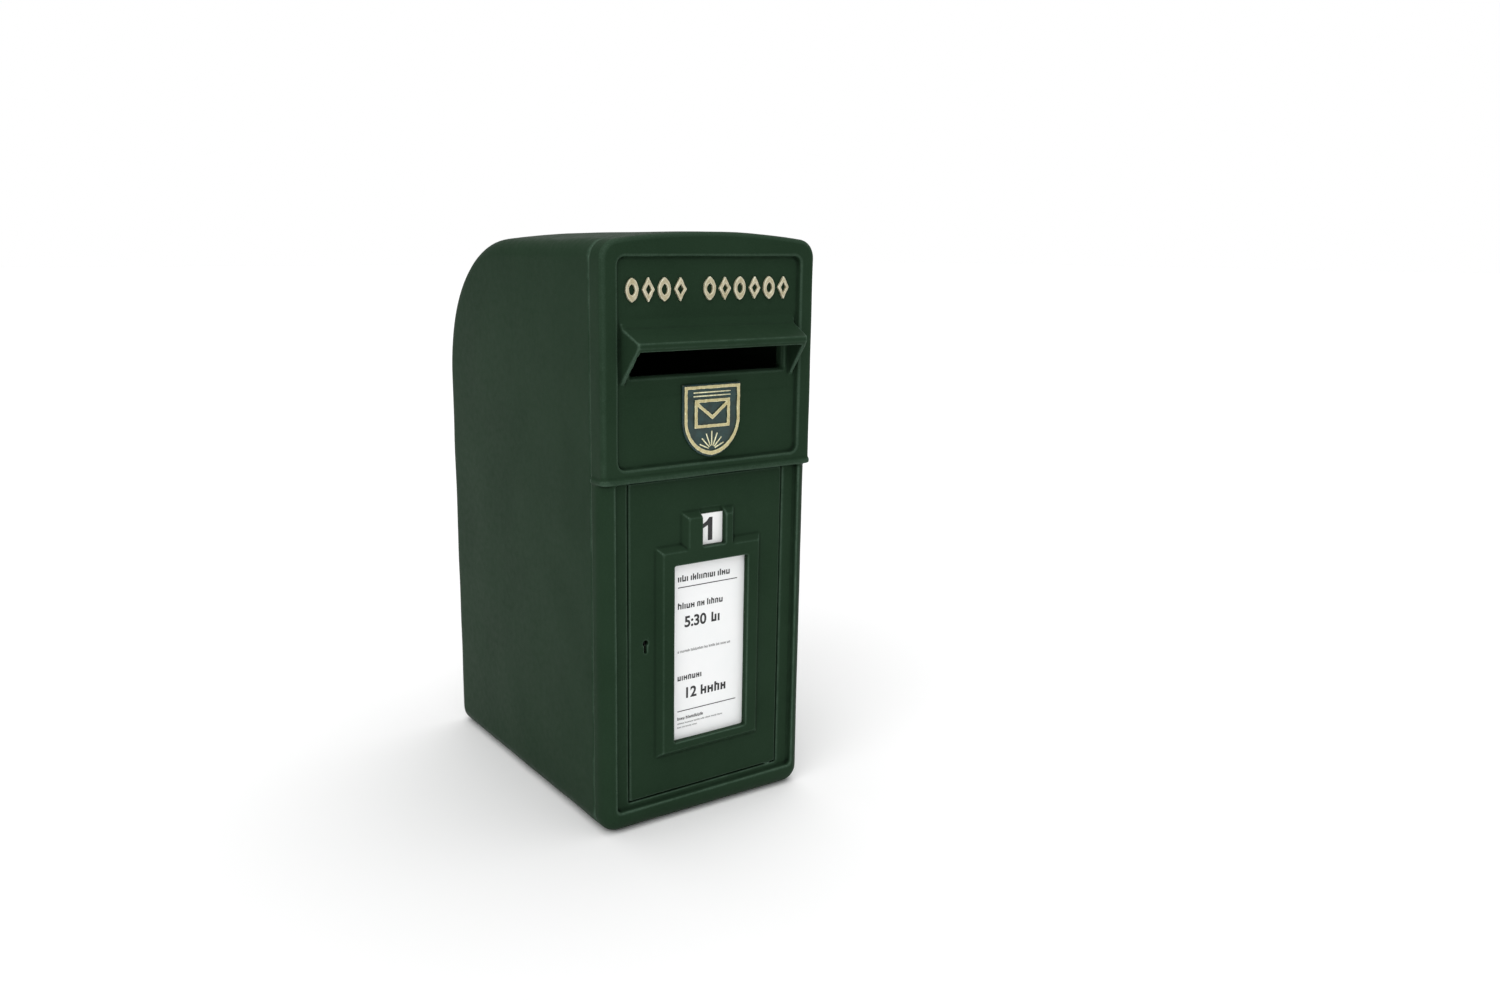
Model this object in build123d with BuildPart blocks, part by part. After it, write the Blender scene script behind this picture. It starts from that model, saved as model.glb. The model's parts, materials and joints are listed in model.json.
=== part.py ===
from build123d import *
import os

# Cast-metal letter box with a hooded slot, a side-hinged collection door and a lever lock.
# Millimetres. +Z is up, the front faces -Y and +X is to the right of someone facing it.
# The origin is under the centre of the bounding box, on the surface the box stands on.

# ---------------------------------------------------------------- overall size
WIDTH = 238.0                 # side to side
HEIGHT = 570.0                # to the crown of the roof
ROOF_CROWN = 9.0              # rise of the roof from its edges to its middle
BODY_DEPTH = 353.0            # front rim to flat back
HOOD_REACH = 22.0             # how far the hood lip stands in front of the rim
REAR_RADIUS = 141.0           # big round at the back of the roof, at the side walls
CORNER_RADIUS = 18.0          # rounded long edges of the casting
WALL = 4.5                    # wall of both castings

EDGE_HEIGHT = HEIGHT - ROOF_CROWN
HALF = WIDTH / 2
Y_LIP = -(BODY_DEPTH + HOOD_REACH) / 2
Y_FRONT = Y_LIP + HOOD_REACH
Y_BACK = Y_FRONT + BODY_DEPTH
Y_ARC = Y_BACK - REAR_RADIUS  # axis of the rear round
Z_ARC = EDGE_HEIGHT - REAR_RADIUS

# ---------------------------------------------------------------- front frame
FRAME_DEPTH = 22.0            # rim to the seam with the shell
UPPER_EDGE_ROUND = 4.5        # front edge of the upper half
LOWER_EDGE_ROUND = 16.0       # front edge of the lower half
LEDGE_LOW = 344.5             # drip ledge between the two halves
LEDGE_HIGH = 350.0
LEDGE_REACH = 2.0             # ledge in front of the rim
LEDGE_SIDE = 1.2              # ledge beyond the side walls
LEDGE_ROUND = 1.8
SHELF_TOP = 351.0             # inner shelf behind the ledge
FRAME_CUT = 347.0             # height where the two halves meet, inside the ledge

STILE_DEPTH = 6.4             # flat stile behind the rim, flush with the door
STILE_THICK = 5.6
STILE_HALF = 105.0
STILE_BOTTOM = 22.0
STILE_CORNER = 5.0

PANEL_DEPTH = 5.0             # sunk panel above the ledge
PANEL_THICK = 5.0
PANEL_HALF = 101.5
PANEL_BOTTOM = 358.0
PANEL_TOP = 547.0
PANEL_CORNER = 6.5
PANEL_DRAFT = 10.0

HOOD_HALF_BACK = 97.5
HOOD_HALF_LIP = 94.5
HOOD_BACK_TOP = 493.0
HOOD_BACK_BOTTOM = 432.5
HOOD_COVE_REACH = 3.0         # the top falls steeply this far out, then slopes to the lip
HOOD_COVE_Z = 484.5
HOOD_LIP_TOP = 473.0
HOOD_LIP_BOTTOM = 468.0
HOOD_WALL = 3.6
HOOD_LIP_ROUND = 1.6
HOOD_ROOT = 0.5               # how far the hood is sunk into the panel
HOOD_HOLLOW_DROP = 12.0       # the hollow's cutting form reaches this far below the hood

SLOT_HALF = 86.0
SLOT_BOTTOM = 441.0
SLOT_TOP = 478.0
SLOT_FUNNEL = 3.0             # the mouth widens by this much all round
SLOT_LAND = 6.5               # extra thickness behind the panel, round the slot

Y_SEAM = Y_FRONT + FRAME_DEPTH
Y_STILE = Y_FRONT + STILE_DEPTH
Y_STILE_BACK = Y_STILE + STILE_THICK
Y_PANEL = Y_FRONT + PANEL_DEPTH
Y_PANEL_BACK = Y_PANEL + PANEL_THICK

# ---------------------------------------------------------------- door
DOOR_HALF = 88.2
DOOR_BOTTOM = 28.3
DOOR_TOP = 343.0
DOOR_GAP = 1.7
DOOR_THICK = 5.0
RIB_WIDTH = 4.0               # stiffening rib round the back of the door
RIB_DEPTH = 5.0
HINGE_X = 80.0
PIN_RADIUS = 2.5
PIN_HEAD_RADIUS = 4.1
PIN_HEAD_HEIGHT = 1.6
PIN_HEAD_GAP = 0.3            # under the head
PIN_HEAD_PLAY = 0.4           # round the head
PIN_HEAD_ROOM = 4.0           # cleared above the boss for the head
PIN_FOOT_GAP = 1.0            # lower pin short of the end of its hole
PIN_PRESS_HOLE = 2.53
PIN_RUNNING_HOLE = 2.56
PIN_GRIP = 20.0               # how far each pin reaches into the door
PIN_LUG_SPARE = 4.0           # door lug beyond the end of the pin
HINGE_BOSS_RADIUS = 6.5
HINGE_BOSS_HEIGHT = 7.0
LOWER_BOSS_HEIGHT = 15.0

Y_DOOR = Y_STILE
Y_DOOR_BACK = Y_DOOR + DOOR_THICK
Y_HINGE = Y_DOOR_BACK
OPENING_HALF = DOOR_HALF + DOOR_GAP
OPENING_BOTTOM = DOOR_BOTTOM - DOOR_GAP

NOTICE_X = 1.5                # the notice frame sits a little right of centre
NOTICE_HALF = 62.0
NOTICE_BOTTOM = 66.0
NOTICE_TOP = 279.5
WINDOW_HALF = 42.8
WINDOW_BOTTOM = 80.5
WINDOW_TOP = 260.0
MOULDING_RISE = 7.0
MOULDING_TAPER = 38.0
MOULDING_ROUND = 2.0
DOOR_EDGE_ROUND = 1.2
CARD_LIP = 4.0                # how far the card tucks under the moulding
CARD_THICK = 1.5
CARD_GAP = 0.3                # card inside its pocket
CARD_SETBACK = 0.5            # card face behind the door face

TAB_HALF = 31.5
TAB_OVERLAP = 10.0            # the tab's form starts this far down in the notice frame
TAB_TOP = 310.5
TILE_LOW_X = -9.6
TILE_HIGH_X = 17.2
TILE_BOTTOM = 274.8
TILE_DROP = 5.0               # top of the tile below the top of the tab
TILE_POCKET = 1.0
TILE_THICK = 1.5
TILE_GAP = 0.3

# ---------------------------------------------------------------- lock
KEY_X = -70.0
KEY_Z = 186.5
KEY_EYE = 3.0
KEY_SLOT_WIDTH = 3.0
KEY_SLOT_BOTTOM = 176.0
KEY_PIN_RADIUS = 1.0
CASE_LEFT = -83.8
CASE_RIGHT = -55.6
CASE_BOTTOM = 160.0
CASE_TOP = 216.0
CASE_WALL = 2.0
CASE_DEPTH = 12.0
CASE_KEYHOLE_PLAY = 0.4       # keyhole in the case wider than in the door
CASE_POST_RADIUS = 3.0        # posts that take the cap screws
CASE_POST_LENGTH = 11.5
CAP_THICK = 1.5
CAP_EDGE_ROUND = 0.5
BOLT_BOTTOM = 198.0
BOLT_TOP = 209.0
RIB_NOTCH = BOLT_TOP - BOLT_BOTTOM + 2
BOLT_THICK = 6.0
BOLT_LEFT = CASE_LEFT + 0.4
BOLT_RIGHT = -58.5
BOLT_NOSE_ROUND = 0.8
NOTCH_HALF = 4.0              # notch under the bolt that the key turns in
NOTCH_DEPTH = 3.5
BOLT_GAP = 0.3
SPRING_RIGHT = -58.5
SPRING_BEND = -63.0
SPRING_LEFT = -76.0
SPRING_THICK = 0.7
SPRING_TIP_RISE = 2.4         # tip of the spring above the end of the lever
SPRING_ROOT_GAP = 0.1         # between the spring and the roof of the case
LEVER_THICK = 1.5
LEVER_HUB_RADIUS = 4.0
LEVER_TIP_X = CASE_LEFT + 3
LEVER_TIP_LOW = 194.5
LEVER_TIP_HIGH = 201.5
BELLY_Z = 191.7               # underside that the key lifts
PIVOT_X = -62.3
PIVOT_Z = 190.0
PIVOT_RADIUS = 2.0
EAR_THICK = 2.0
EAR_WIDTH = 10.0
EAR_LENGTH = 9.0
CASE_SCREWS = ((-70.0, CASE_BOTTOM - 5), (-70.0, CASE_TOP + 5))
CAP_SCREWS = ((-79.6, 164.2), (-59.8, 164.2), (-59.8, 179.0))
CAP_SCREW_GRIP = 8.0

# ---------------------------------------------------------------- behind the notice card
PAD_MARGIN = 1.0
PAD_CORNER = 2.0
BACKPLATE_THICK = 1.5
BACKPLATE_MARGIN = 8.0        # backplate beyond the card
BACKPLATE_CORNER = 3.0
BACKPLATE_SCREWS = tuple(
    (NOTICE_X + side * (WINDOW_HALF + CARD_LIP + BACKPLATE_MARGIN / 2), z)
    for side in (-1, 1)
    for z in (
        WINDOW_BOTTOM - CARD_LIP - BACKPLATE_MARGIN / 2,
        WINDOW_TOP + CARD_LIP + BACKPLATE_MARGIN / 2,
    )
)

Y_CASE_INSIDE = Y_DOOR_BACK + CASE_WALL
Y_CASE_BACK = Y_DOOR_BACK + CASE_DEPTH
Y_LEVER = Y_CASE_INSIDE + 0.5
Y_BOLT = Y_LEVER + LEVER_THICK + 0.5
STRIKE_THICK = 3.0

# ---------------------------------------------------------------- fixings
FRAME_BOLT_X = 104.0
FRAME_BOLT_Z = (62.0, 300.0, 520.0)
LUG_THICK = 6.0
LUG_HALF_HEIGHT = 9.0
LUG_INNER_X = 96.0
LUG_OUTER_X = HALF - 2        # buried in the side wall
BOSS_RADIUS = 6.5
FRAME_BOLT_RADIUS = 2.5
FRAME_BOLT_GRIP = 7.0         # length of bolt inside the boss
FRAME_BOLT_HEAD = (4.5, 3.4)  # radius and height
LUG_HOLE_RADIUS = 2.8
WASHER_THICK = 1.0
WASHER_RADIUS = 5.5
THRUST_WASHER_RADIUS = 4.6
THRUST_WASHER_PLAY = 0.15     # round the pin
THRUST_WASHER_GAP = 0.2       # under the door
SMALL_SCREW_RADIUS = 1.5
SMALL_SCREW_GRIP = 3.6
SMALL_SCREW_HEAD = (2.8, 1.6)
CAP_SCREW_HEAD = (2.6, 1.4)
HEAD_ROUND = 0.45             # share of a screw head's height that is rounded
THREAD_PLAY = 0.05            # tapped hole round its screw
SCREW_PLAY = 0.2              # clearance hole round its screw
SCREW_HOLE_SPARE = 0.3        # tapped hole beyond the end of its screw
STRIKE_X = -101.5
STRIKE_HALF = 10.0
STRIKE_REACH = 11.0           # above and below the bolt
STRIKE_CORNER = 2.0
STRIKE_SCREWS = ((STRIKE_X, BOLT_BOTTOM - 6), (STRIKE_X, BOLT_TOP + 6))
WALL_HOLE_X = 75.0
WALL_HOLE_LOW = 80.0
WALL_HOLE_HIGH = 380.0
WALL_HOLE_RADIUS = 4.0
BASE_HOLE_X = 75.0
BASE_HOLE_Y = 100.0
BASE_CENTRE_Y = 20.0
BASE_HOLE_RADIUS = 4.5

# ---------------------------------------------------------------- raised ornament
FRIEZE_CENTRE_Z = 518.5
FRIEZE_HEIGHT = 22.0
FRIEZE_RISE = 3.0
MOTIF_WIDTH = 13.0
MOTIF_LINE = 3.2              # ring width at the sides
MOTIF_TIP = 6.0               # ring width at the points
FRIEZE_GROUPS = ((-92.5, 4), (-9.0, 6))   # left end and number of motifs
MOTIF_PITCH = 17.1
BADGE_X = 1.0
BADGE_BOTTOM = 361.0
BADGE_TOP = 431.0
BADGE_HALF = 33.0
BADGE_RISE = 2.4
BADGE_EDGE_ROUND = 0.8
BADGE_SHOULDER = 0.52         # share of the height where the sides start to turn in
BADGE_MARGIN = 1.6            # green edge outside the gilt border
BADGE_LINE = 3.0
BADGE_LINE_RISE = 1.6
ENVELOPE_Z = 403.0
ENVELOPE_WIDTH = 40.0
ENVELOPE_HEIGHT = 27.0
FLAP_POINT_Z = ENVELOPE_Z - 2.0
FLAP_LINE = 1.3 * BADGE_LINE  # height of the slanted line

OVERCUT = 1.0                 # cuts and buried ends reach this far past the face

os.makedirs("parts", exist_ok=True)


def facing(y):
    """Sketch plane at a depth y that faces the front: sketch x is X and sketch y is Z."""
    return Plane.XZ.offset(-y)


def arched_outline(inset, low):
    """Front outline above the height low: straight sides under the crowned roof."""
    half = HALF - inset
    edge = EDGE_HEIGHT - inset
    with BuildLine() as path:
        Line((-half, low), (half, low))
        Line((half, low), (half, edge))
        ThreePointArc((half, edge), (0, HEIGHT - inset), (-half, edge))
        Line((-half, edge), (-half, low))
    outline = make_face(path.edges())
    fillet(outline.vertices().group_by(Axis.Y)[-1], CORNER_RADIUS - inset)


def save(builder, label):
    """Label a finished piece and write it."""
    builder.part.label = label
    export_step(builder.part, f"parts/{label}.step")
    print(label, round(builder.part.volume), "mm3")


def screw_group(points, shank_radius, shank_length, head):
    """Pan-head screws that point to -Y, their heads seated on the given points."""
    head_radius, head_height = head
    with BuildPart() as screws:
        for x, y, z in points:
            with BuildSketch(facing(y)):
                with Locations((x, z)):
                    Circle(shank_radius)
            extrude(amount=shank_length)
            with BuildSketch(facing(y)):
                with Locations((x, z)):
                    Circle(head_radius)
            extrude(amount=-head_height)
        rims = screws.edges().filter_by(GeomType.CIRCLE)
        rims = rims.filter_by(lambda e: abs(e.radius - head_radius) < 0.01)
        back = max(rims, key=lambda e: e.center().Y).center().Y
        fillet(rims.filter_by(lambda e: abs(e.center().Y - back) < 0.01), head_height * HEAD_ROUND)
    return screws


# ================================================================ housing shell
def loaf(inset):
    """The shell's outer or inner form: crowned roof, big rear round, flat back and floor."""
    half = HALF - inset
    radius = REAR_RADIUS - inset
    with BuildPart() as form:
        with BuildSketch(facing(Y_SEAM)):
            arched_outline(inset, Z_ARC)
        extrude(amount=-(Y_ARC - Y_SEAM))
        with BuildSketch(facing(Y_ARC)):
            arched_outline(inset, Z_ARC)
        revolve(axis=Axis((0, Y_ARC, Z_ARC), (-1, 0, 0)), revolution_arc=90)
        with BuildSketch(Plane.XY.offset(inset)):
            with BuildLine():
                Line((-half, Y_SEAM), (half, Y_SEAM))
                Line((half, Y_SEAM), (half, Y_ARC + radius))
                ThreePointArc(
                    (half, Y_ARC + radius),
                    (0, Y_ARC + radius + ROOF_CROWN),
                    (-half, Y_ARC + radius),
                )
                Line((-half, Y_ARC + radius), (-half, Y_SEAM))
            plan = make_face()
            fillet(plan.vertices().group_by(Axis.Y)[-1], CORNER_RADIUS - inset)
        extrude(amount=Z_ARC - inset)
        floor_edges = form.faces().sort_by(Axis.Z)[0].edges()
        floor_edges = floor_edges.filter_by(lambda e: e.center().Y > Y_SEAM + 1)
        fillet(floor_edges, CORNER_RADIUS - inset - 0.1)
        flat_back = Y_BACK - inset
        with Locations((0, flat_back, 0)):
            Box(
                2 * WIDTH, WIDTH, 2 * HEIGHT,
                align=(Align.CENTER, Align.MIN, Align.CENTER), mode=Mode.SUBTRACT,
            )
    return form.part


outer_form = loaf(0.0)
inner_form = loaf(WALL)

with BuildPart() as housing_shell:
    add(outer_form)
    add(inner_form, mode=Mode.SUBTRACT)
    # lugs inside the seam that the front frame bolts to
    for side in (-1, 1):
        for z in FRAME_BOLT_Z:
            with Locations((side * (LUG_INNER_X + LUG_OUTER_X) / 2, Y_SEAM + LUG_THICK / 2, z)):
                Box(LUG_OUTER_X - LUG_INNER_X, LUG_THICK, 2 * LUG_HALF_HEIGHT)
            with BuildSketch(facing(Y_SEAM + LUG_THICK + OVERCUT)):
                with Locations((side * FRAME_BOLT_X, z)):
                    Circle(LUG_HOLE_RADIUS)
            extrude(amount=LUG_THICK + 2 * OVERCUT, mode=Mode.SUBTRACT)
    # four holes for wall bolts and four for a stand
    with BuildSketch(facing(Y_BACK + OVERCUT)):
        for z in (WALL_HOLE_LOW, WALL_HOLE_HIGH):
            with Locations((-WALL_HOLE_X, z), (WALL_HOLE_X, z)):
                Circle(WALL_HOLE_RADIUS)
    extrude(amount=WALL + 2 * OVERCUT, mode=Mode.SUBTRACT)
    with BuildSketch(Plane.XY.offset(-OVERCUT)):
        with Locations((0, BASE_CENTRE_Y)):
            with GridLocations(2 * BASE_HOLE_X, 2 * BASE_HOLE_Y, 2, 2):
                Circle(BASE_HOLE_RADIUS)
    extrude(amount=WALL + 2 * OVERCUT, mode=Mode.SUBTRACT)
save(housing_shell, "housing_shell")


# ================================================================ front frame
def front_outline(inset):
    """Full front outline of the box, with its lower corners rounded as well."""
    half = HALF - inset
    edge = EDGE_HEIGHT - inset
    with BuildLine() as path:
        Line((-half, inset), (half, inset))
        Line((half, inset), (half, edge))
        ThreePointArc((half, edge), (0, HEIGHT - inset), (-half, edge))
        Line((-half, edge), (-half, inset))
    outline = make_face(path.edges())
    fillet(outline.vertices(), CORNER_RADIUS - inset)


def band(low, high):
    """Keep only the part of the current sketch between two heights."""
    with Locations((0, (low + high) / 2)):
        Rectangle(2 * WIDTH, high - low, mode=Mode.INTERSECT)


def upright(half, low, high, x=0.0):
    """Upright rectangle in the current sketch, from its half width and its two heights."""
    with Locations((x, (low + high) / 2)):
        Rectangle(2 * half, high - low)


def frame_block(low, high, edge_round):
    """One half of the front casting as a solid block with its front edge rounded."""
    with BuildPart() as block:
        with BuildSketch(facing(Y_FRONT)):
            front_outline(0.0)
            band(low, high)
        extrude(amount=-FRAME_DEPTH)
        rim = block.faces().sort_by(Axis.Y)[0].edges()
        fillet(rim.filter_by(lambda e: abs(e.center().Z - FRAME_CUT) > 1), edge_round)
    return block.part


def frustum(y_back, back, y_front, front):
    """Loft between two upright rectangles, each given as half width, low and high."""
    with BuildPart() as form:
        with BuildSketch(facing(y_back)):
            upright(*back)
        with BuildSketch(facing(y_front)):
            upright(*front)
        loft()
    return form.part


lower_block = frame_block(0.0, FRAME_CUT, LOWER_EDGE_ROUND)
upper_block = frame_block(FRAME_CUT, HEIGHT, UPPER_EDGE_ROUND)


def hood_form(inset, lip_inset, low):
    """The hood's wedge, or its hollow: a side profile between two slightly tapered sides."""
    root = Y_PANEL + HOOD_ROOT
    lip = Y_LIP + lip_inset
    with BuildPart() as form:
        with BuildSketch(Plane.YZ.offset(-HOOD_HALF_BACK)):
            with BuildLine() as path:
                Polyline(
                    (root, HOOD_BACK_BOTTOM - low), (root, HOOD_BACK_TOP - inset),
                    (Y_PANEL, HOOD_BACK_TOP - inset),
                    (Y_PANEL - HOOD_COVE_REACH + inset / 2, HOOD_COVE_Z - inset),
                    (lip, HOOD_LIP_TOP - inset), (lip, HOOD_LIP_BOTTOM - low), close=True,
                )
            make_face(path.edges())
        extrude(amount=2 * HOOD_HALF_BACK)
        with BuildSketch(Plane.XY.offset(HOOD_BACK_BOTTOM - low - OVERCUT)):
            with BuildLine() as plan:
                Polyline(
                    (HOOD_HALF_BACK - inset, root), (HOOD_HALF_LIP - inset, lip),
                    (inset - HOOD_HALF_LIP, lip), (inset - HOOD_HALF_BACK, root), close=True,
                )
            make_face(plan.edges())
        extrude(amount=HEIGHT / 2, mode=Mode.INTERSECT)
    return form.part


# hood: a coved wedge on the panel, and the hollow that opens it from below
with BuildPart() as hood:
    add(hood_form(0.0, 0.0, 0.0))
    fillet(hood.faces().sort_by(Axis.Y)[0].edges(), HOOD_LIP_ROUND)
hood_hollow = hood_form(HOOD_WALL, HOOD_WALL, HOOD_HOLLOW_DROP)

# drip ledge: a bead that wraps the front corners
with BuildPart() as ledge:
    with BuildSketch(Plane.XY.offset(LEDGE_LOW)):
        with Locations((0, (Y_FRONT - LEDGE_REACH + Y_SEAM) / 2)):
            Rectangle(2 * (HALF + LEDGE_SIDE), Y_SEAM - Y_FRONT + LEDGE_REACH)
    extrude(amount=LEDGE_HIGH - LEDGE_LOW)
    fillet(ledge.edges().filter_by(Axis.Z).group_by(Axis.Y)[0], UPPER_EDGE_ROUND + LEDGE_REACH)
    bead = ledge.edges().filter_by(lambda e: e.center().Y < Y_SEAM - 1)
    fillet(bead.filter_by(Axis.Z, reverse=True), LEDGE_ROUND)

with BuildPart() as front_frame:
    add(lower_block)
    add(upper_block)
    add(ledge.part)
    # hollow behind the stiles and behind the panel, leaving the skirt and a shelf between
    with BuildSketch(facing(Y_STILE_BACK)):
        front_outline(WALL)
        band(0, LEDGE_LOW)
    extrude(amount=-FRAME_DEPTH, mode=Mode.SUBTRACT)
    with BuildSketch(facing(Y_PANEL_BACK)):
        front_outline(WALL)
        band(SHELF_TOP, HEIGHT)
    extrude(amount=-FRAME_DEPTH, mode=Mode.SUBTRACT)
    # step from the rim down to the flat stiles
    with BuildSketch(facing(Y_STILE)) as stile_step:
        upright(STILE_HALF, STILE_BOTTOM, LEDGE_LOW)
        fillet(stile_step.vertices().group_by(Axis.Y)[0], STILE_CORNER)
    extrude(amount=FRAME_DEPTH, mode=Mode.SUBTRACT)
    # door opening
    with BuildSketch(facing(Y_STILE_BACK + OVERCUT)):
        upright(OPENING_HALF, OPENING_BOTTOM, LEDGE_LOW)
    extrude(amount=FRAME_DEPTH, mode=Mode.SUBTRACT)
    # sunk panel
    with BuildSketch(facing(Y_PANEL)) as sunk:
        upright(PANEL_HALF, PANEL_BOTTOM, PANEL_TOP)
        fillet(sunk.vertices(), PANEL_CORNER)
    extrude(amount=FRAME_DEPTH, taper=-PANEL_DRAFT, mode=Mode.SUBTRACT)
    # hood, and the thicker land round the slot
    add(hood.part)
    add(hood_hollow, mode=Mode.SUBTRACT)
    with BuildSketch(facing(Y_PANEL_BACK + SLOT_LAND)):
        upright(SLOT_HALF + SLOT_FUNNEL, SLOT_BOTTOM - SLOT_FUNNEL, SLOT_TOP + SLOT_FUNNEL)
    extrude(amount=SLOT_LAND + PANEL_THICK)
    # slot with a widening mouth
    with BuildSketch(facing(Y_PANEL_BACK + SLOT_LAND + OVERCUT)):
        upright(SLOT_HALF, SLOT_BOTTOM, SLOT_TOP)
    extrude(amount=SLOT_LAND + PANEL_THICK + 2 * OVERCUT, mode=Mode.SUBTRACT)
    add(frustum(
        Y_PANEL + SLOT_FUNNEL, (SLOT_HALF, SLOT_BOTTOM, SLOT_TOP),
        Y_PANEL - HOOD_ROOT,
        (SLOT_HALF + SLOT_FUNNEL, SLOT_BOTTOM - SLOT_FUNNEL, SLOT_TOP + SLOT_FUNNEL),
    ), mode=Mode.SUBTRACT)
    # bosses for the bolts from the shell
    for side in (-1, 1):
        for z in FRAME_BOLT_Z:
            with BuildSketch(facing(Y_SEAM)):
                with Locations((side * FRAME_BOLT_X, z)):
                    Circle(BOSS_RADIUS)
            extrude(amount=Y_SEAM - Y_PANEL_BACK + OVERCUT)
            with BuildSketch(facing(Y_SEAM)):
                with Locations((side * FRAME_BOLT_X, z)):
                    Circle(FRAME_BOLT_RADIUS + THREAD_PLAY)
            extrude(amount=FRAME_BOLT_GRIP + OVERCUT, mode=Mode.SUBTRACT)
    # hinge bosses above and below the door
    with BuildSketch(Plane.XY.offset(SHELF_TOP)):
        with Locations((HINGE_X, Y_HINGE)):
            Circle(HINGE_BOSS_RADIUS)
    extrude(amount=HINGE_BOSS_HEIGHT)
    with Locations((HINGE_X, (Y_STILE + Y_HINGE + HINGE_BOSS_RADIUS) / 2, OPENING_BOTTOM)):
        Box(
            2 * HINGE_BOSS_RADIUS, Y_HINGE + HINGE_BOSS_RADIUS - Y_STILE, LOWER_BOSS_HEIGHT,
            align=(Align.CENTER, Align.CENTER, Align.MAX),
        )
    for low, high in (
        (LEDGE_LOW, SHELF_TOP + HINGE_BOSS_HEIGHT),
        (OPENING_BOTTOM - LOWER_BOSS_HEIGHT, OPENING_BOTTOM),
    ):
        with BuildSketch(Plane.XY.offset(low - OVERCUT)):
            with Locations((HINGE_X, Y_HINGE)):
                Circle(PIN_RUNNING_HOLE)
        extrude(amount=high - low + 2 * OVERCUT, mode=Mode.SUBTRACT)
    # room for the head of the upper hinge pin
    with BuildSketch(Plane.XY.offset(SHELF_TOP + HINGE_BOSS_HEIGHT)):
        with Locations((HINGE_X, Y_HINGE)):
            Circle(PIN_HEAD_RADIUS + PIN_HEAD_PLAY)
    extrude(amount=PIN_HEAD_ROOM, mode=Mode.SUBTRACT)
    # holes for the strike plate screws
    with BuildSketch(facing(Y_STILE_BACK)):
        with Locations(*STRIKE_SCREWS):
            Circle(SMALL_SCREW_RADIUS + THREAD_PLAY)
    extrude(amount=SMALL_SCREW_GRIP + SCREW_HOLE_SPARE, mode=Mode.SUBTRACT)
save(front_frame, "front_frame")

# bolts and washers that hold the frame to the shell
lug_back = Y_SEAM + LUG_THICK
frame_bolt_seats = [
    (side * FRAME_BOLT_X, lug_back + WASHER_THICK, z) for side in (-1, 1) for z in FRAME_BOLT_Z
]
front_frame_bolts = screw_group(
    frame_bolt_seats, FRAME_BOLT_RADIUS, LUG_THICK + WASHER_THICK + FRAME_BOLT_GRIP,
    FRAME_BOLT_HEAD,
)
save(front_frame_bolts, "front_frame_bolts")

with BuildPart() as front_frame_washers:
    for x, y, z in frame_bolt_seats:
        with BuildSketch(facing(y)):
            with Locations((x, z)):
                Circle(WASHER_RADIUS)
                Circle(FRAME_BOLT_RADIUS + SCREW_PLAY, mode=Mode.SUBTRACT)
        extrude(amount=WASHER_THICK)
save(front_frame_washers, "front_frame_washers")

# washer that carries the door on the lower boss
with BuildPart() as hinge_thrust_washer:
    with BuildSketch(Plane.XY.offset(OPENING_BOTTOM)):
        with Locations((HINGE_X, Y_HINGE)):
            Circle(THRUST_WASHER_RADIUS)
            Circle(PIN_RADIUS + THRUST_WASHER_PLAY, mode=Mode.SUBTRACT)
    extrude(amount=DOOR_GAP - THRUST_WASHER_GAP)
save(hinge_thrust_washer, "hinge_thrust_washer")

# steel plate behind the left stile that the bolt passes behind
with BuildPart() as strike_plate:
    with BuildSketch(facing(Y_STILE_BACK)) as strike_outline:
        upright(STRIKE_HALF, BOLT_BOTTOM - STRIKE_REACH, BOLT_TOP + STRIKE_REACH, STRIKE_X)
        fillet(strike_outline.vertices(), STRIKE_CORNER)
        with Locations(*STRIKE_SCREWS):
            Circle(SMALL_SCREW_RADIUS + SCREW_PLAY, mode=Mode.SUBTRACT)
    extrude(amount=-STRIKE_THICK)
save(strike_plate, "strike_plate")

strike_plate_screws = screw_group(
    [(x, Y_STILE_BACK + STRIKE_THICK, z) for x, z in STRIKE_SCREWS],
    SMALL_SCREW_RADIUS, STRIKE_THICK + SMALL_SCREW_GRIP, SMALL_SCREW_HEAD,
)
save(strike_plate_screws, "strike_plate_screws")


# ================================================================ raised ornament
def leaf(x, half_width, half_height, mode=Mode.ADD):
    """Upright pointed leaf in the current sketch, made of two arcs that meet at its tips."""
    foot = (x, FRIEZE_CENTRE_Z - half_height)
    tip = (x, FRIEZE_CENTRE_Z + half_height)
    with BuildLine() as path:
        ThreePointArc(foot, (x + half_width, FRIEZE_CENTRE_Z), tip)
        ThreePointArc(tip, (x - half_width, FRIEZE_CENTRE_Z), foot)
    make_face(path.edges(), mode=mode)


def diamond(x, half_width, half_height, mode=Mode.ADD):
    """Upright diamond in the current sketch."""
    corners = ((half_width, 0), (0, half_height), (-half_width, 0), (0, -half_height))
    with Locations((x, FRIEZE_CENTRE_Z)):
        Polygon(*corners, align=None, mode=mode)


with BuildPart() as frieze_relief:
    for start, count in FRIEZE_GROUPS:
        for i in range(count):
            ring = leaf if i % 2 == 0 else diamond
            centre_x = start + MOTIF_WIDTH / 2 + i * MOTIF_PITCH
            with BuildSketch(facing(Y_PANEL)):
                ring(centre_x, MOTIF_WIDTH / 2, FRIEZE_HEIGHT / 2)
                ring(
                    centre_x, MOTIF_WIDTH / 2 - MOTIF_LINE, FRIEZE_HEIGHT / 2 - MOTIF_TIP,
                    Mode.SUBTRACT,
                )
            extrude(amount=FRIEZE_RISE)
save(frieze_relief, "frieze_relief")


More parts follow.
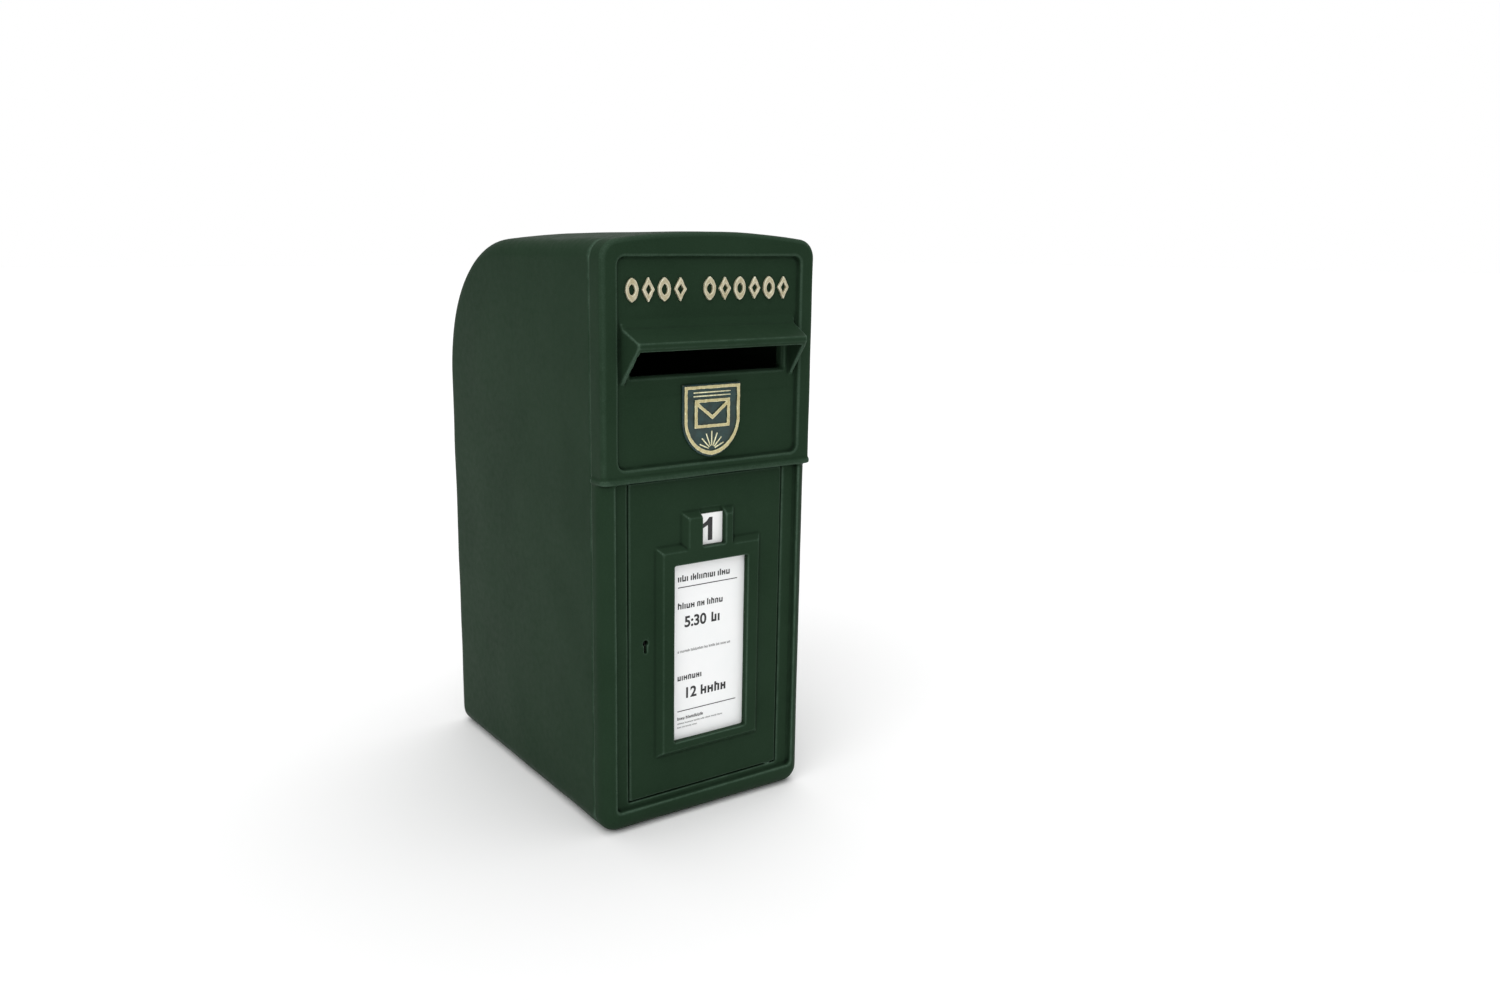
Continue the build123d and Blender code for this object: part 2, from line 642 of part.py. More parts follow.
def shield(inset, mode=Mode.ADD):
    """Heater shield in the current sketch, shrunk by inset."""
    half = BADGE_HALF - inset
    top = BADGE_TOP - inset
    foot = BADGE_BOTTOM + inset * 1.3      # the point moves in further than the sides
    shoulder = BADGE_BOTTOM + BADGE_SHOULDER * (BADGE_TOP - BADGE_BOTTOM)
    with BuildLine() as path:
        Line((BADGE_X - half, top), (BADGE_X + half, top))
        for side in (-1, 1):
            Line((BADGE_X + side * half, top), (BADGE_X + side * half, shoulder))
            TangentArc(
                (BADGE_X + side * half, shoulder), (BADGE_X, foot), tangent=(0, -1),
            )
    make_face(path.edges(), mode=mode)


with BuildPart() as crest_badge:
    with BuildSketch(facing(Y_PANEL)):
        shield(0.0)
    extrude(amount=BADGE_RISE)
    fillet(crest_badge.faces().sort_by(Axis.Y)[0].edges(), BADGE_EDGE_ROUND)
save(crest_badge, "crest_badge")

# gilt lines on the badge: its border, and an envelope with a folded flap
with BuildPart() as crest_badge_lines:
    with BuildSketch(facing(Y_PANEL - BADGE_RISE)):
        shield(BADGE_MARGIN)
        shield(BADGE_MARGIN + BADGE_LINE, Mode.SUBTRACT)
        left = BADGE_X - ENVELOPE_WIDTH / 2
        right = BADGE_X + ENVELOPE_WIDTH / 2
        upper = ENVELOPE_Z + ENVELOPE_HEIGHT / 2
        with Locations((BADGE_X, ENVELOPE_Z)):
            Rectangle(ENVELOPE_WIDTH, ENVELOPE_HEIGHT)
            Rectangle(
                ENVELOPE_WIDTH - 2 * BADGE_LINE, ENVELOPE_HEIGHT - 2 * BADGE_LINE,
                mode=Mode.SUBTRACT,
            )
        Polygon(
            (left, upper), (BADGE_X, FLAP_POINT_Z), (right, upper),
            (right, upper - FLAP_LINE), (BADGE_X, FLAP_POINT_Z - FLAP_LINE),
            (left, upper - FLAP_LINE), align=None,
        )
    extrude(amount=BADGE_LINE_RISE)
save(crest_badge_lines, "crest_badge_lines")


# ================================================================ door
def keyhole(play):
    """Keyhole in the current sketch: a round eye over a slot, enlarged by play."""
    with Locations((KEY_X, KEY_Z)):
        Circle(KEY_EYE + play)
    upright(KEY_SLOT_WIDTH / 2 + play, KEY_SLOT_BOTTOM - play, KEY_Z, KEY_X)


def case_outline(inset):
    """Outline of the lock case in the current sketch, shrunk by inset."""
    width = CASE_RIGHT - CASE_LEFT - 2 * inset
    upright(width / 2, CASE_BOTTOM + inset, CASE_TOP - inset, (CASE_LEFT + CASE_RIGHT) / 2)


with BuildPart() as moulding:
    with BuildSketch(facing(Y_DOOR + OVERCUT)):
        upright(NOTICE_HALF, NOTICE_BOTTOM, NOTICE_TOP, NOTICE_X)
        upright(TAB_HALF, NOTICE_TOP - TAB_OVERLAP, TAB_TOP)
    extrude(amount=MOULDING_RISE + OVERCUT, taper=MOULDING_TAPER)
    fillet(moulding.faces().sort_by(Axis.Y)[0].edges(), MOULDING_ROUND)

with BuildPart() as door_leaf:
    with BuildSketch(facing(Y_DOOR)):
        upright(DOOR_HALF, DOOR_BOTTOM, DOOR_TOP)
    extrude(amount=-DOOR_THICK)
    fillet(door_leaf.faces().sort_by(Axis.Y)[0].edges(), DOOR_EDGE_ROUND)
    # stiffening rib round the back
    with BuildSketch(facing(Y_DOOR_BACK)):
        upright(DOOR_HALF, DOOR_BOTTOM, DOOR_TOP)
        with Locations((0, (DOOR_BOTTOM + DOOR_TOP) / 2)):
            Rectangle(
                2 * (DOOR_HALF - RIB_WIDTH), DOOR_TOP - DOOR_BOTTOM - 2 * RIB_WIDTH,
                mode=Mode.SUBTRACT,
            )
    extrude(amount=-RIB_DEPTH)
    # notch in the rib for the lock bolt
    with Locations((-DOOR_HALF + RIB_WIDTH / 2, Y_DOOR_BACK, (BOLT_BOTTOM + BOLT_TOP) / 2)):
        Box(
            RIB_WIDTH + 2 * OVERCUT, RIB_DEPTH + OVERCUT, RIB_NOTCH,
            align=(Align.CENTER, Align.MIN, Align.CENTER), mode=Mode.SUBTRACT,
        )
    # lugs that take the hinge pins
    for z, align in ((DOOR_TOP, Align.MAX), (DOOR_BOTTOM, Align.MIN)):
        with Locations((DOOR_HALF, Y_DOOR_BACK, z)):
            Box(
                2 * (DOOR_HALF - HINGE_X), RIB_DEPTH, PIN_GRIP + PIN_LUG_SPARE,
                align=(Align.MAX, Align.MIN, align),
            )
    pin_hole = PIN_GRIP + SCREW_HOLE_SPARE + OVERCUT
    for z, amount in ((DOOR_TOP + OVERCUT, -pin_hole), (DOOR_BOTTOM - OVERCUT, pin_hole)):
        with BuildSketch(Plane.XY.offset(z)):
            with Locations((HINGE_X, Y_HINGE)):
                Circle(PIN_PRESS_HOLE)
        extrude(amount=amount, mode=Mode.SUBTRACT)
    add(moulding.part)
    # window for the notice, with a pocket behind it for the card
    with BuildSketch(facing(Y_DOOR_BACK + OVERCUT)):
        upright(WINDOW_HALF, WINDOW_BOTTOM, WINDOW_TOP, NOTICE_X)
    extrude(amount=DOOR_THICK + MOULDING_RISE + 2 * OVERCUT, mode=Mode.SUBTRACT)
    with BuildSketch(facing(Y_DOOR_BACK + OVERCUT)):
        upright(
            WINDOW_HALF + CARD_LIP, WINDOW_BOTTOM - CARD_LIP, WINDOW_TOP + CARD_LIP, NOTICE_X,
        )
    extrude(amount=DOOR_THICK + OVERCUT - CARD_SETBACK, mode=Mode.SUBTRACT)
    # channel for the number tile, open at the top
    with BuildSketch(facing(Y_DOOR + TILE_POCKET)):
        upright(
            (TILE_HIGH_X - TILE_LOW_X) / 2, TILE_BOTTOM, TAB_TOP + OVERCUT,
            (TILE_LOW_X + TILE_HIGH_X) / 2,
        )
    extrude(amount=TILE_POCKET + MOULDING_RISE + OVERCUT, mode=Mode.SUBTRACT)
    # keyhole
    with BuildSketch(facing(Y_DOOR_BACK + OVERCUT)):
        keyhole(0.0)
    extrude(amount=DOOR_THICK + 2 * OVERCUT, mode=Mode.SUBTRACT)
    # screw holes for the card's backplate and the lock
    with BuildSketch(facing(Y_DOOR_BACK)):
        with Locations(*BACKPLATE_SCREWS, *CASE_SCREWS):
            Circle(SMALL_SCREW_RADIUS + THREAD_PLAY)
    extrude(amount=SMALL_SCREW_GRIP + SCREW_HOLE_SPARE, mode=Mode.SUBTRACT)
save(door_leaf, "door_leaf")

card_front = Y_DOOR + CARD_SETBACK
with BuildPart() as notice_card:
    with BuildSketch(facing(card_front)):
        upright(
            WINDOW_HALF + CARD_LIP - CARD_GAP, WINDOW_BOTTOM - CARD_LIP + CARD_GAP,
            WINDOW_TOP + CARD_LIP - CARD_GAP, NOTICE_X,
        )
    extrude(amount=-CARD_THICK)
save(notice_card, "notice_card")

with BuildPart() as card_backing_pad:
    with BuildSketch(facing(card_front + CARD_THICK)) as pad_outline:
        upright(
            WINDOW_HALF + CARD_LIP - PAD_MARGIN, WINDOW_BOTTOM - CARD_LIP + PAD_MARGIN,
            WINDOW_TOP + CARD_LIP - PAD_MARGIN, NOTICE_X,
        )
        fillet(pad_outline.vertices(), PAD_CORNER)
    extrude(amount=-(Y_DOOR_BACK - card_front - CARD_THICK))
save(card_backing_pad, "card_backing_pad")

with BuildPart() as card_backplate:
    with BuildSketch(facing(Y_DOOR_BACK)) as backplate_outline:
        upright(
            WINDOW_HALF + CARD_LIP + BACKPLATE_MARGIN, WINDOW_BOTTOM - CARD_LIP - BACKPLATE_MARGIN,
            WINDOW_TOP + CARD_LIP + BACKPLATE_MARGIN, NOTICE_X,
        )
        fillet(backplate_outline.vertices(), BACKPLATE_CORNER)
        with Locations(*BACKPLATE_SCREWS):
            Circle(SMALL_SCREW_RADIUS + SCREW_PLAY, mode=Mode.SUBTRACT)
    extrude(amount=-BACKPLATE_THICK)
save(card_backplate, "card_backplate")

card_backplate_screws = screw_group(
    [(x, Y_DOOR_BACK + BACKPLATE_THICK, z) for x, z in BACKPLATE_SCREWS],
    SMALL_SCREW_RADIUS, BACKPLATE_THICK + SMALL_SCREW_GRIP, SMALL_SCREW_HEAD,
)
save(card_backplate_screws, "card_backplate_screws")

with BuildPart() as number_tile:
    with BuildSketch(facing(Y_DOOR + TILE_POCKET)):
        upright(
            (TILE_HIGH_X - TILE_LOW_X) / 2 - TILE_GAP, TILE_BOTTOM + TILE_GAP,
            TAB_TOP - TILE_DROP,
            (TILE_LOW_X + TILE_HIGH_X) / 2,
        )
    extrude(amount=TILE_THICK)
save(number_tile, "number_tile")

# hinge pins: the upper one drops through its boss, the lower one stands in its boss
with BuildPart() as hinge_pin_upper:
    with BuildSketch(Plane.XY.offset(DOOR_TOP - PIN_GRIP)):
        with Locations((HINGE_X, Y_HINGE)):
            Circle(PIN_RADIUS)
    extrude(amount=SHELF_TOP + HINGE_BOSS_HEIGHT - DOOR_TOP + PIN_GRIP + PIN_HEAD_GAP)
    with BuildSketch(Plane.XY.offset(SHELF_TOP + HINGE_BOSS_HEIGHT + PIN_HEAD_GAP)):
        with Locations((HINGE_X, Y_HINGE)):
            Circle(PIN_HEAD_RADIUS)
    extrude(amount=PIN_HEAD_HEIGHT)
save(hinge_pin_upper, "hinge_pin_upper")

with BuildPart() as hinge_pin_lower:
    with BuildSketch(Plane.XY.offset(OPENING_BOTTOM - LOWER_BOSS_HEIGHT + PIN_FOOT_GAP)):
        with Locations((HINGE_X, Y_HINGE)):
            Circle(PIN_RADIUS)
    extrude(amount=LOWER_BOSS_HEIGHT - PIN_FOOT_GAP + DOOR_GAP + PIN_GRIP)
save(hinge_pin_lower, "hinge_pin_lower")

# ================================================================ lock
with BuildPart() as lock_case:
    with BuildSketch(facing(Y_DOOR_BACK)):
        case_outline(0.0)
    extrude(amount=-CASE_DEPTH)
    with BuildSketch(facing(Y_CASE_INSIDE)):
        case_outline(CASE_WALL)
    extrude(amount=-CASE_DEPTH, mode=Mode.SUBTRACT)
    # ears that screw to the door
    for x, z in CASE_SCREWS:
        ear_top = z > PIVOT_Z
        edge = CASE_TOP - OVERCUT if ear_top else CASE_BOTTOM + OVERCUT
        with Locations((x, Y_DOOR_BACK, edge)):
            Box(
                EAR_WIDTH, EAR_THICK, EAR_LENGTH + OVERCUT,
                align=(Align.CENTER, Align.MIN, Align.MIN if ear_top else Align.MAX),
            )
    with BuildSketch(facing(Y_DOOR_BACK + EAR_THICK + OVERCUT)):
        with Locations(*CASE_SCREWS):
            Circle(SMALL_SCREW_RADIUS + SCREW_PLAY)
    extrude(amount=EAR_THICK + 2 * OVERCUT, mode=Mode.SUBTRACT)
    # keyhole and the slot for the bolt
    with BuildSketch(facing(Y_CASE_INSIDE + OVERCUT)):
        keyhole(CASE_KEYHOLE_PLAY)
    extrude(amount=CASE_WALL + 2 * OVERCUT, mode=Mode.SUBTRACT)
    with BuildSketch(Plane.YZ.offset(CASE_LEFT - OVERCUT)):
        with Locations((Y_BOLT + BOLT_THICK / 2, (BOLT_BOTTOM + BOLT_TOP) / 2)):
            Rectangle(BOLT_THICK + 2 * BOLT_GAP, BOLT_TOP - BOLT_BOTTOM + 2 * BOLT_GAP)
    extrude(amount=CASE_WALL + 2 * OVERCUT, mode=Mode.SUBTRACT)
    # corner posts for the cap screws
    for x, z in CAP_SCREWS:
        with BuildSketch(facing(Y_CASE_BACK)):
            with Locations((x, z)):
                Circle(CASE_POST_RADIUS)
        extrude(amount=CASE_POST_LENGTH)
        with BuildSketch(facing(Y_CASE_BACK)):
            with Locations((x, z)):
                Circle(SMALL_SCREW_RADIUS + THREAD_PLAY)
        extrude(amount=CAP_SCREW_GRIP + SCREW_HOLE_SPARE, mode=Mode.SUBTRACT)
save(lock_case, "lock_case")

with BuildPart() as lock_cap:
    with BuildSketch(facing(Y_CASE_BACK)):
        case_outline(0.0)
        with Locations(*CAP_SCREWS):
            Circle(SMALL_SCREW_RADIUS + SCREW_PLAY, mode=Mode.SUBTRACT)
    extrude(amount=-CAP_THICK)
    fillet(lock_cap.faces().sort_by(Axis.Y)[-1].outer_wire().edges(), CAP_EDGE_ROUND)
save(lock_cap, "lock_cap")

lock_cap_screws = screw_group(
    [(x, Y_CASE_BACK + CAP_THICK, z) for x, z in CAP_SCREWS],
    SMALL_SCREW_RADIUS, CAP_THICK + CAP_SCREW_GRIP, CAP_SCREW_HEAD,
)
save(lock_cap_screws, "lock_cap_screws")

lock_case_screws = screw_group(
    [(x, Y_DOOR_BACK + EAR_THICK, z) for x, z in CASE_SCREWS],
    SMALL_SCREW_RADIUS, EAR_THICK + SMALL_SCREW_GRIP, SMALL_SCREW_HEAD,
)
save(lock_case_screws, "lock_case_screws")

with BuildPart() as lock_pivot_stud:
    with BuildSketch(facing(Y_CASE_BACK)):
        with Locations((PIVOT_X, PIVOT_Z)):
            Circle(PIVOT_RADIUS)
    extrude(amount=Y_CASE_BACK - Y_CASE_INSIDE)
save(lock_pivot_stud, "lock_pivot_stud")

with BuildPart() as lock_key_pin:
    with BuildSketch(facing(Y_CASE_BACK)):
        with Locations((KEY_X, KEY_Z)):
            Circle(KEY_PIN_RADIUS)
    extrude(amount=Y_CASE_BACK - Y_CASE_INSIDE)
save(lock_key_pin, "lock_key_pin")

# sliding bolt, shown drawn back, with the notch that the key turns in
with BuildPart() as lock_bolt:
    with BuildSketch(facing(Y_BOLT)):
        with BuildLine():
            Polyline(
                (BOLT_LEFT, BOLT_BOTTOM), (KEY_X - NOTCH_HALF, BOLT_BOTTOM),
                (KEY_X - NOTCH_HALF + 1, BOLT_BOTTOM + NOTCH_DEPTH),
                (KEY_X + NOTCH_HALF - 1, BOLT_BOTTOM + NOTCH_DEPTH),
                (KEY_X + NOTCH_HALF, BOLT_BOTTOM), (BOLT_RIGHT, BOLT_BOTTOM),
                (BOLT_RIGHT, BOLT_TOP), (BOLT_LEFT, BOLT_TOP), close=True,
            )
        make_face()
    extrude(amount=-BOLT_THICK)
    fillet(lock_bolt.faces().sort_by(Axis.X)[0].edges(), BOLT_NOSE_ROUND)
save(lock_bolt, "lock_bolt")

# lever that the key lifts off the bolt
with BuildPart() as lock_lever:
    with BuildSketch(facing(Y_LEVER)):
        with BuildLine():
            Polyline(
                (PIVOT_X, PIVOT_Z), (KEY_X + 3, BELLY_Z), (KEY_X - 3, BELLY_Z),
                (LEVER_TIP_X, LEVER_TIP_LOW), (LEVER_TIP_X, LEVER_TIP_HIGH),
                (PIVOT_X - 5, LEVER_TIP_HIGH + 1.5), (PIVOT_X + 2.6, PIVOT_Z + 3), close=True,
            )
        make_face()
        with Locations((PIVOT_X, PIVOT_Z)):
            Circle(LEVER_HUB_RADIUS)
            Circle(PIVOT_RADIUS + THREAD_PLAY, mode=Mode.SUBTRACT)
    extrude(amount=-LEVER_THICK)
save(lock_lever, "lock_lever")

# leaf spring from the roof of the case down to the lever's back
spring_root = CASE_TOP - CASE_WALL - SPRING_ROOT_GAP
spring_tip = LEVER_TIP_HIGH + SPRING_TIP_RISE
with BuildPart() as lock_lever_spring:
    with BuildSketch(facing(Y_LEVER)):
        with BuildLine():
            Polyline(
                (SPRING_RIGHT, spring_root), (SPRING_BEND, spring_root),
                (SPRING_LEFT, spring_tip + SPRING_THICK), (SPRING_LEFT, spring_tip),
                (SPRING_BEND, spring_root - SPRING_THICK),
                (SPRING_RIGHT, spring_root - SPRING_THICK), close=True,
            )
        make_face()
    extrude(amount=-LEVER_THICK)
save(lock_lever_spring, "lock_lever_spring")
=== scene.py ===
import json
import math
import random

import bmesh
import bpy
from mathutils import Matrix, Vector, noise


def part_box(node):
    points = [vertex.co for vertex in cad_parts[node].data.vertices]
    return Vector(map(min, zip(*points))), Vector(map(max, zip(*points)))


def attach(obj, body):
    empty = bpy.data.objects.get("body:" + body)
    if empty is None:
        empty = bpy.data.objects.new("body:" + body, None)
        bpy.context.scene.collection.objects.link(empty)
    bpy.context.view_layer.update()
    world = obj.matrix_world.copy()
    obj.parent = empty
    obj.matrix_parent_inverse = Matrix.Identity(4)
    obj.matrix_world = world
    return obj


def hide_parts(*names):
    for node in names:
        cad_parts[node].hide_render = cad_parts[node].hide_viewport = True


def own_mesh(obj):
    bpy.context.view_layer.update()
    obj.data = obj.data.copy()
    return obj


# The looks of a cast-metal mailbox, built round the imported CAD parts. Metres, +Z up, front to -Y.
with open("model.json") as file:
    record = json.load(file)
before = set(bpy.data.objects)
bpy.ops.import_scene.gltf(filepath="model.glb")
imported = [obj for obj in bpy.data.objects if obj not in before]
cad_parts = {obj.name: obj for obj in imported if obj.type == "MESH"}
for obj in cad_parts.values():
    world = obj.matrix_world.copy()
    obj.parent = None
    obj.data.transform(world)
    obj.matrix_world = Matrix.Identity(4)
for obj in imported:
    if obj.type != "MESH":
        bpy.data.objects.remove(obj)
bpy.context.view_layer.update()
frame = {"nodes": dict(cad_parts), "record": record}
scene = bpy.context.scene
random.seed(7)

MM = 0.001


# ---------------------------------------------------------------- shader helpers
class Shader:
    """A Principled material whose nodes are added by short calls; textures use object space, in metres."""

    def __init__(self, name, color, roughness, metallic=0.0, specular=0.5):
        self.material = bpy.data.materials.new(name)
        self.material.use_nodes = True
        self.nodes = self.material.node_tree.nodes
        self.links = self.material.node_tree.links
        self.bsdf = next(n for n in self.nodes if n.type == "BSDF_PRINCIPLED")
        self.bsdf.inputs["Base Color"].default_value = (*color, 1)
        self.bsdf.inputs["Roughness"].default_value = roughness
        self.bsdf.inputs["Metallic"].default_value = metallic
        self.bsdf.inputs["Specular IOR Level"].default_value = specular
        self.coords = self.nodes.new("ShaderNodeTexCoord").outputs["Object"]
        self.normal = None

    def noise(self, size, detail=4.0, rough=0.55, stretch=(1, 1, 1)):
        """Noise whose main features are about size metres across, from 0 to 1."""
        mapping = self.nodes.new("ShaderNodeMapping")
        mapping.inputs["Scale"].default_value = tuple(part / size for part in stretch)
        self.links.new(self.coords, mapping.inputs["Vector"])
        texture = self.nodes.new("ShaderNodeTexNoise")
        texture.inputs["Scale"].default_value = 1.0
        texture.inputs["Detail"].default_value = detail
        texture.inputs["Roughness"].default_value = rough
        self.links.new(mapping.outputs["Vector"], texture.inputs["Vector"])
        return texture.outputs["Fac"]

    def ramp(self, value, low, high, start=0.0, end=1.0):
        """value from low..high mapped to start..end and clamped."""
        node = self.nodes.new("ShaderNodeMapRange")
        for key, number in zip(("From Min", "From Max", "To Min", "To Max"), (low, high, start, end)):
            node.inputs[key].default_value = number
        self.links.new(value, node.inputs["Value"])
        return node.outputs["Result"]

    def mix(self, factor, a, b):
        """Colour a where factor is 0 and b where it is 1; each is a colour or a socket."""
        node = self.nodes.new("ShaderNodeMix")
        node.data_type = "RGBA"
        self.links.new(factor, node.inputs["Factor"])
        for key, colour in (("A", a), ("B", b)):
            socket = next(entry for entry in node.inputs if entry.name == key and entry.type == "RGBA")
            if isinstance(colour, tuple):
                socket.default_value = (*colour, 1)
            else:
                self.links.new(colour, socket)
        return next(entry for entry in node.outputs if entry.type == "RGBA")

    def pointiness(self):
        """The mesh's curvature: 0.5 on flats, more on raised edges and less in corners."""
        return self.nodes.new("ShaderNodeNewGeometry").outputs["Pointiness"]

    def edges(self, low, high):
        """1 on raised edges and 0 on flats and in corners."""
        return self.ramp(self.pointiness(), low, high)

    def creases(self, low, high):
        """1 deep in corners and 0 on flats and raised edges."""
        return self.ramp(self.pointiness(), low, high, 1.0, 0.0)

    def bump(self, height, depth):
        """Add relief of about depth metres from a 0..1 height."""
        node = self.nodes.new("ShaderNodeBump")
        node.inputs["Distance"].default_value = depth
        self.links.new(height, node.inputs["Height"])
        if self.normal is not None:
            self.links.new(self.normal, node.inputs["Normal"])
        self.normal = node.outputs["Normal"]
        self.links.new(self.normal, self.bsdf.inputs["Normal"])

    def set(self, key, socket):
        self.links.new(socket, self.bsdf.inputs[key])


def cast_paint():
    """Dark green paint over a fine sand-cast surface, with a painted highlight on the raised edges and
    painted shade in the corners.
    """
    dark, light = (0.0146, 0.0326, 0.0172), (0.0172, 0.0370, 0.0200)
    grit = (0.026, 0.052, 0.031)
    # painted highlight tones for the raised edges
    edge_highlight_dim, edge_highlight_bright = (0.044, 0.084, 0.055), (0.082, 0.130, 0.094)
    # painted shade for the concave corners
    corner = (0.0028, 0.0070, 0.0038)
    shader = Shader("cast_paint", (0.0168, 0.0360, 0.0195), 0.42, specular=0.018)
    cloud = shader.noise(70 * MM, 5.0)
    grain = shader.noise(1.3 * MM, 3.0)
    skin = shader.noise(7 * MM, 3.0)
    green = shader.mix(shader.ramp(cloud, 0.35, 0.65), dark, light)
    green = shader.mix(shader.ramp(grain, 0.45, 0.75, 0.0, 0.25), green, grit)
    edge_highlight = shader.mix(shader.ramp(grain, 0.3, 0.7), edge_highlight_dim, edge_highlight_bright)
    # painted highlight: lighter paint on the raised edges
    green = shader.mix(shader.edges(0.508, 0.560), green, edge_highlight)
    # painted shade: near-black paint in the concave corners
    shader.set("Base Color", shader.mix(shader.creases(0.455, 0.494), green, corner))
    shader.set("Roughness", shader.ramp(skin, 0.3, 0.7, 0.32, 0.46))
    shader.bump(skin, 0.07 * MM)
    shader.bump(grain, 0.02 * MM)
    return shader.material


def gilt(name, pale, deep, metallic):
    """Brushed-on gold paint, with a painted highlight along the crown of each stroke and painted shade at
    its foot.
    """
    dirt = (0.10, 0.08, 0.03)
    shader = Shader(name, pale, 0.34, metallic, 0.5)
    streak = shader.noise(3 * MM, 4.0, stretch=(1, 1, 0.35))
    fleck = shader.noise(0.9 * MM, 2.0)
    # painted highlight: the pale tone on the raised crowns; painted shade: the deep tone at the feet
    colour = shader.mix(shader.edges(0.48, 0.56), deep, pale)
    colour = shader.mix(shader.ramp(streak, 0.45, 0.7, 0.0, 0.5), colour, deep)
    shader.set("Base Color", shader.mix(shader.ramp(fleck, 0.60, 0.8, 0.0, 0.7), colour, dirt))
    shader.set("Roughness", shader.ramp(streak, 0.3, 0.7, 0.24, 0.44))
    shader.bump(streak, 0.25 * MM)
    shader.bump(fleck, 0.08 * MM)
    return shader.material


def card_stock():
    """White laminated card, not quite flat."""
    shader = Shader("card_stock", (0.92, 0.93, 0.93), 0.38)
    fibre = shader.noise(0.5 * MM, 3.0)
    tone = shader.noise(40 * MM, 3.0)
    white = shader.mix(shader.ramp(tone, 0.3, 0.7), (0.91, 0.925, 0.925), (0.94, 0.945, 0.945))
    shader.set("Base Color", white)
    shader.set("Roughness", shader.ramp(fibre, 0.3, 0.7, 0.30, 0.45))
    shader.bump(tone, 0.25 * MM)
    shader.bump(fibre, 0.01 * MM)
    return shader.material


def ink(name, plain, dark, pale):
    """Dull printing ink, speckled between a dark and a pale tone."""
    shader = Shader(name, plain, 0.5)
    speck = shader.noise(0.35 * MM, 2.0)
    shader.set("Base Color", shader.mix(shader.ramp(speck, 0.4, 0.8), dark, pale))
    shader.set("Roughness", shader.ramp(speck, 0.3, 0.7, 0.4, 0.6))
    return shader.material


def plated(name, color, roughness, tarnish):
    """Bright metal fixings with light scratches and dull patches."""
    shader = Shader(name, color, roughness, 1.0)
    scratch = shader.noise(4 * MM, 5.0, 0.7, stretch=(0.12, 1, 1))
    patch = shader.noise(7 * MM, 3.0)
    shader.set("Base Color", shader.mix(shader.ramp(patch, 0.45, 0.7), color, tarnish))
    shader.set("Roughness", shader.ramp(scratch, 0.3, 0.7, roughness - 0.08, roughness + 0.14))
    shader.bump(scratch, 0.03 * MM)
    return shader.material


def foam():
    """Black open-cell foam."""
    shader = Shader("foam", (0.02, 0.02, 0.02), 0.9)
    cell = shader.noise(1.0 * MM, 2.0)
    shader.set("Base Color", shader.mix(cell, (0.012, 0.012, 0.012), (0.040, 0.040, 0.040)))
    shader.bump(cell, 0.3 * MM)
    return shader.material


def enamel():
    """Glossy white enamel with a slight ripple."""
    shader = Shader("enamel", (0.90, 0.91, 0.90), 0.2)
    ripple = shader.noise(6 * MM, 2.0)
    shader.set("Base Color", shader.mix(ripple, (0.89, 0.90, 0.89), (0.92, 0.93, 0.92)))
    shader.bump(ripple, 0.02 * MM)
    return shader.material


def badge_ground():
    """The badge's field: dark teal paint, rubbed back to gold on its raised edges."""
    dark, light = (0.006, 0.024, 0.020), (0.010, 0.044, 0.042)
    rubbed_gold = (0.20, 0.17, 0.08)
    shader = Shader("badge_ground", (0.010, 0.040, 0.038), 0.35)
    cloud = shader.noise(9 * MM, 3.0)
    grain = shader.noise(0.7 * MM, 2.0)
    field = shader.mix(shader.ramp(cloud, 0.35, 0.65), dark, light)
    shader.set("Base Color", shader.mix(shader.edges(0.53, 0.60), field, rubbed_gold))
    shader.set("Roughness", shader.ramp(grain, 0.3, 0.7, 0.28, 0.44))
    shader.bump(grain, 0.08 * MM)
    return shader.material


PAINT = cast_paint()
BADGE = badge_ground()
GILT = gilt("gilt_ivory", (0.90, 0.87, 0.70), (0.36, 0.30, 0.15), 0.1)
GOLD = gilt("gilt_gold", (0.95, 0.93, 0.62), (0.42, 0.34, 0.12), 0.1)
CARD = card_stock()
INK = ink("print_ink", (0.012, 0.012, 0.013), (0.010, 0.010, 0.011), (0.040, 0.040, 0.042))
FADED = ink("faded_ink", (0.22, 0.22, 0.22), (0.20, 0.20, 0.20), (0.34, 0.34, 0.34))
ZINC = plated("zinc", (0.60, 0.60, 0.58), 0.32, (0.42, 0.42, 0.40))
STEEL = plated("lock_steel", (0.50, 0.50, 0.49), 0.30, (0.34, 0.33, 0.32))
BRASS = plated("brass", (0.30, 0.23, 0.11), 0.34, (0.14, 0.11, 0.06))
FOAM = foam()
ENAMEL = enamel()

CAD_MATERIALS = {
    "body_paint": PAINT, "gilt_paint": GILT, "zinc_steel": ZINC, "lock_steel": STEEL,
    "brass": BRASS, "card_white": CARD, "tile_white": ENAMEL, "foam_black": FOAM,
}
slot_of = {part["node"]: part["material_slot"] for part in frame["record"]["subparts"]}
for name, node in frame["nodes"].items():
    node.data.materials.clear()
    node.data.materials.append(CAD_MATERIALS[slot_of[name]])
# the washer shows in the gap under the door, so it is painted over with the box
frame["nodes"]["hinge_thrust_washer"].data.materials[0] = PAINT


# ---------------------------------------------------------------- mesh helpers
def new_piece(name, mesh, material, body, replaced=()):
    """Put a finished mesh in the scene as a piece that rides on a body."""
    piece = bpy.data.objects.new(name, mesh)
    scene.collection.objects.link(piece)
    mesh.materials.clear()
    mesh.materials.append(material)
    mesh.shade_smooth()
    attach(piece, body)
    if replaced:
        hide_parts(*replaced)
    return piece


